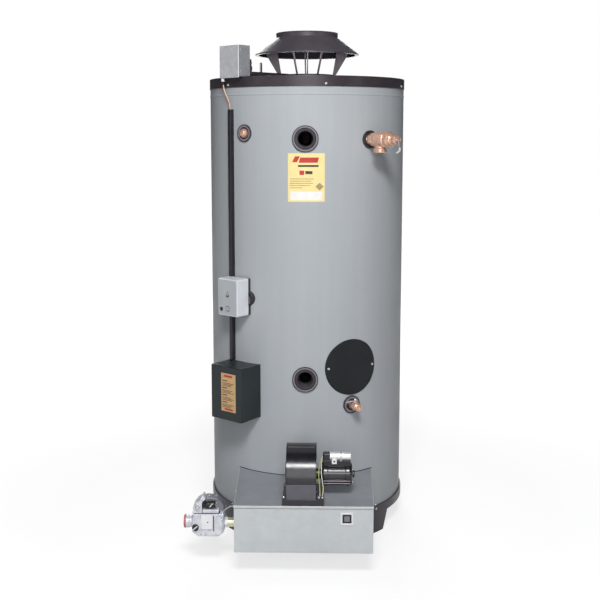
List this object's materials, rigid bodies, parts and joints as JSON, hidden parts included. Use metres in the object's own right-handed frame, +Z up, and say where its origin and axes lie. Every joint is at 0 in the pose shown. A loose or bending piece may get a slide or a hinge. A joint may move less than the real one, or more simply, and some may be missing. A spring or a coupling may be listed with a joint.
{
  "type": "tank water heater",
  "caption": "Tall gas-fired storage water heater with a blower-fed burner box, gas valve, relief and drain valves, motorised flue damper and draft hood.",
  "frame": {"origin": "the tank's axis at floor level, in the middle of the four anchor holes in the feet", "axes": "+Z up along the tank, -Y the front with the water sockets and the burner box, +X to the right seen from the front"},
  "size_m": [0.818, 1.071, 1.932],
  "materials": {
    "jacket_paint": "satin",
    "black_enamel": "satin",
    "black_plastic": "satin",
    "control_plastic": "gloss",
    "pale_plastic": "satin",
    "galvanised_sheet": "satin",
    "box_sheet": "satin",
    "blower_black": "gloss",
    "wheel_steel": "satin",
    "cast_aluminium": "satin",
    "capacitor_can": "polished",
    "brass": "satin",
    "chrome": "polished",
    "tank_steel": "matte",
    "flue_steel": "matte",
    "magnesium": "matte",
    "insulation_blanket": "matte",
    "screw_steel": "satin",
    "zinc_pipe": "satin",
    "inlet_plastic": "satin",
    "circuit_plastic": "satin",
    "lead_insulation": "satin",
    "sight_frame": "satin",
    "button_plastic": "gloss"
  },
  "bodies": {
    "heater": {"base_ring": "black_enamel", "legs": "black_enamel", "jacket": "jacket_paint", "jacket_lid": "black_enamel", "jacket_screws": "screw_steel", "insulation": "insulation_blanket", "tank_shell": "tank_steel", "tank_heads": "tank_steel", "flue_tubes": "flue_steel", "flue_baffles": "flue_steel", "flue_collector": "black_enamel", "anode_rods": "magnesium", "tank_spuds": "tank_steel", "cold_inlet_tube": "inlet_plastic", "port_trim_rings": "black_plastic", "port_plug": "brass", "relief_valve_body": "brass", "relief_valve_bonnet": "brass", "drain_valve_body": "brass", "cleanout_cover": "black_enamel", "handhole_flange": "tank_steel", "handhole_plate": "tank_steel", "wire_raceway": "black_plastic", "thermostat_base": "black_plastic", "thermostat_cover": "pale_plastic", "thermostat_body": "brass", "control_box_body": "control_plastic", "control_box_cover": "control_plastic", "control_modules": "circuit_plastic", "damper_box_base": "galvanised_sheet", "damper_box_cover": "galvanised_sheet", "damper_motor": "cast_aluminium", "damper_bracket": "black_enamel", "conduit_fitting": "pale_plastic", "damper_leads": "lead_insulation", "draft_hood": "black_enamel", "draft_hood_struts": "black_enamel", "burner_box_shell": "box_sheet", "burner_box_top": "box_sheet", "sight_port": "sight_frame", "burner": "flue_steel", "igniter_and_flame_rod": "pale_plastic", "blower_housing": "blower_black", "blower_flange": "blower_black", "motor_shell": "blower_black", "capacitor": "capacitor_can", "motor_leads": "lead_insulation", "gas_valve_body": "cast_aluminium", "gas_valve_caps": "black_plastic", "gas_pipe": "zinc_pipe", "sensing_tube": "cast_aluminium"},
    "damper": {"damper_blade": "black_enamel"},
    "fan": {"blower_wheel": "wheel_steel", "motor_rotor": "wheel_steel"},
    "relief_lever": {"relief_lever": "chrome"},
    "relief_stem": {"relief_stem": "brass"},
    "drain_handle": {"drain_handle": "chrome"},
    "gas_knob": {"gas_knob": "button_plastic"},
    "reset_button": {"reset_button": "button_plastic"}
  },
  "joints": [
    {"name": "damper_turn", "type": "hinge", "parent": "heater", "child": "damper", "pos_m": [0, 0, 1.762], "axis": [0.6947, 0.7193, 0], "range_deg": [0, 90]},
    {"name": "fan_spin", "type": "hinge", "parent": "heater", "child": "fan", "pos_m": [0, -0.562, 0.3425], "axis": [1, 0, 0], "continuous": true},
    {"name": "relief_lever_lift", "type": "hinge", "parent": "heater", "child": "relief_lever", "pos_m": [0.33122, -0.42395, 1.521], "axis": [-0.788, -0.6157, 0], "range_deg": [0, 80]},
    {"name": "relief_stem_slide", "type": "slide", "parent": "heater", "child": "relief_stem", "axis": [0.6157, -0.788, 0], "range_m": [0, 0.003]},
    {"name": "drain_handle_turn", "type": "hinge", "parent": "heater", "child": "drain_handle", "pos_m": [0.18659, -0.36621, 0.533], "axis": [0, 0, 1], "range_deg": [0, 90]},
    {"name": "gas_knob_turn", "type": "hinge", "parent": "heater", "child": "gas_knob", "pos_m": [-0.356, -0.59, 0.236], "axis": [1, 0, 0], "range_deg": [0, 90]},
    {"name": "reset_press", "type": "slide", "parent": "heater", "child": "reset_button", "axis": [0.6428, 0.766, 0], "range_m": [0, 0.003], "stiffness_N_per_m": 300}
  ],
  "couplings": [
    {"joint": "relief_stem_slide", "follows": "relief_lever_lift", "m_per_rad": 0.0021}
  ]
}
